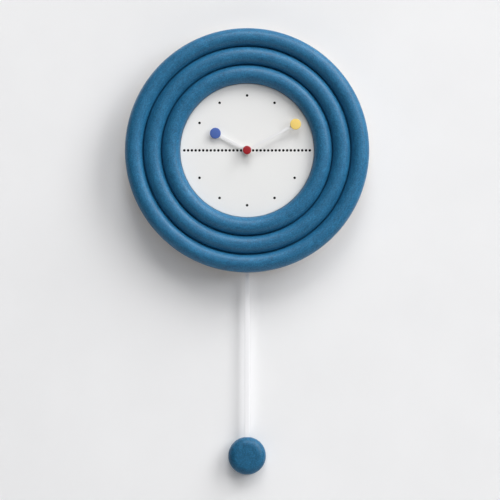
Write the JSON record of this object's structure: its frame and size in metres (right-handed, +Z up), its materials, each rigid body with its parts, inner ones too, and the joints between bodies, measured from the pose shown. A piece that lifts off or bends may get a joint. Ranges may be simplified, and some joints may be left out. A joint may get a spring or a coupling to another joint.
{
  "type": "pendulum wall clock",
  "caption": "Round wall clock with stained blue wooden rings round a white dial, white hands with coloured button tips, and a disc pendulum on a white rod.",
  "frame": {"origin": "the point on the wall plane where the nail holds the keyhole strap, 96 mm above the centre of the hands", "axes": "+X to the viewer's right, +Y into the wall, +Z up; the dial faces -Y"},
  "size_m": [0.2998, 0.0388, 0.5498],
  "materials": {
    "blue_wood": "satin",
    "plain_wood": "matte",
    "white_dial": "matte",
    "white_coat": "satin",
    "blue_button": "satin",
    "yellow_button": "satin",
    "red_cap": "satin",
    "black_plastic": "satin",
    "natural_plastic": "satin",
    "seal_rubber": "matte",
    "steel": "satin",
    "magnet": "satin",
    "brass": "satin",
    "copper_winding": "gloss",
    "battery_shell": "gloss",
    "board": "satin"
  },
  "bodies": {
    "clock": {"ring_inner": "blue_wood", "ring_middle": "blue_wood", "ring_outer": "blue_wood", "inner_ring_screw_1": "steel", "inner_ring_screw_2": "steel", "inner_ring_screw_3": "steel", "middle_ring_screw_1": "steel", "middle_ring_screw_2": "steel", "middle_ring_screw_3": "steel", "outer_ring_screw_1": "steel", "outer_ring_screw_2": "steel", "outer_ring_screw_3": "steel", "backing_plate": "plain_wood", "rear_rim": "plain_wood", "dial_plate": "white_dial", "hanger_strap": "steel", "hanger_screw_1": "steel", "hanger_screw_2": "steel", "movement_front_case": "black_plastic", "movement_rear_cover": "black_plastic", "train_plate": "natural_plastic", "sealing_washer": "seal_rubber", "fixing_nut": "brass", "battery_cell": "battery_shell", "battery_contact_positive": "steel", "battery_contact_negative": "steel", "stator": "steel", "coil_winding": "copper_winding", "circuit_board": "board", "quartz_crystal": "steel", "drive_coil": "copper_winding", "pendulum_pivot_pin": "steel"},
    "rotor": {"rotor": "magnet"},
    "intermediate_wheel": {"intermediate_wheel": "natural_plastic"},
    "seconds_wheel": {"seconds_wheel": "natural_plastic"},
    "third_wheel": {"third_wheel": "natural_plastic"},
    "centre_wheel": {"centre_wheel": "natural_plastic"},
    "minute_hand": {"minute_arbor": "brass", "minute_hand": "white_coat", "minute_button": "yellow_button", "centre_cap": "red_cap"},
    "minute_wheel": {"minute_wheel": "natural_plastic"},
    "hour_hand": {"hour_wheel": "brass", "hour_hand": "white_coat", "hour_button": "blue_button"},
    "setting_knob": {"setting_knob": "black_plastic"},
    "pendulum": {"pendulum_lever": "natural_plastic", "lever_magnet": "magnet", "pendulum_rod": "white_coat", "pendulum_bob": "blue_wood", "bob_screw": "steel"}
  },
  "joints": [
    {"name": "seconds_wheel_turn", "type": "hinge", "parent": "clock", "child": "seconds_wheel", "pos_m": [0, -0.005, -0.096], "axis": [0, 1, 0], "continuous": true},
    {"name": "rotor_turn", "type": "hinge", "parent": "clock", "child": "rotor", "pos_m": [0.00039, -0.005, -0.11139], "axis": [0, 1, 0], "continuous": true},
    {"name": "intermediate_wheel_turn", "type": "hinge", "parent": "clock", "child": "intermediate_wheel", "pos_m": [-0.00328, -0.005, -0.10502], "axis": [0, 1, 0], "continuous": true},
    {"name": "third_wheel_turn", "type": "hinge", "parent": "clock", "child": "third_wheel", "pos_m": [-0.01015, -0.008, -0.09969], "axis": [0, 1, 0], "continuous": true},
    {"name": "centre_wheel_turn", "type": "hinge", "parent": "clock", "child": "centre_wheel", "pos_m": [0, -0.01, -0.096], "axis": [0, 1, 0], "continuous": true},
    {"name": "minute_hand_turn", "type": "hinge", "parent": "clock", "child": "minute_hand", "pos_m": [0, -0.0335, -0.096], "axis": [0, 1, 0], "continuous": true},
    {"name": "hour_hand_turn", "type": "hinge", "parent": "clock", "child": "hour_hand", "pos_m": [0, -0.0295, -0.096], "axis": [0, 1, 0], "continuous": true},
    {"name": "minute_wheel_turn", "type": "hinge", "parent": "clock", "child": "minute_wheel", "pos_m": [0.01, -0.012, -0.096], "axis": [0, 1, 0], "continuous": true},
    {"name": "setting_knob_turn", "type": "hinge", "parent": "clock", "child": "setting_knob", "pos_m": [0.0192, -0.003, -0.10131], "axis": [0, 1, 0], "continuous": true},
    {"name": "pendulum_swing", "type": "hinge", "parent": "clock", "child": "pendulum", "pos_m": [0, -0.0063, -0.132], "axis": [0, 1, 0], "range_deg": [-6, 6]}
  ],
  "couplings": [
    {"joint": "rotor_turn", "follows": "seconds_wheel_turn", "ratio": 30},
    {"joint": "intermediate_wheel_turn", "follows": "seconds_wheel_turn", "ratio": -5},
    {"joint": "third_wheel_turn", "follows": "seconds_wheel_turn", "ratio": -0.13333},
    {"joint": "centre_wheel_turn", "follows": "seconds_wheel_turn", "ratio": 0.016667},
    {"joint": "hour_hand_turn", "follows": "minute_hand_turn", "ratio": 0.083333},
    {"joint": "minute_wheel_turn", "follows": "minute_hand_turn", "ratio": -0.33333},
    {"joint": "setting_knob_turn", "follows": "minute_hand_turn", "ratio": 0.8}
  ]
}
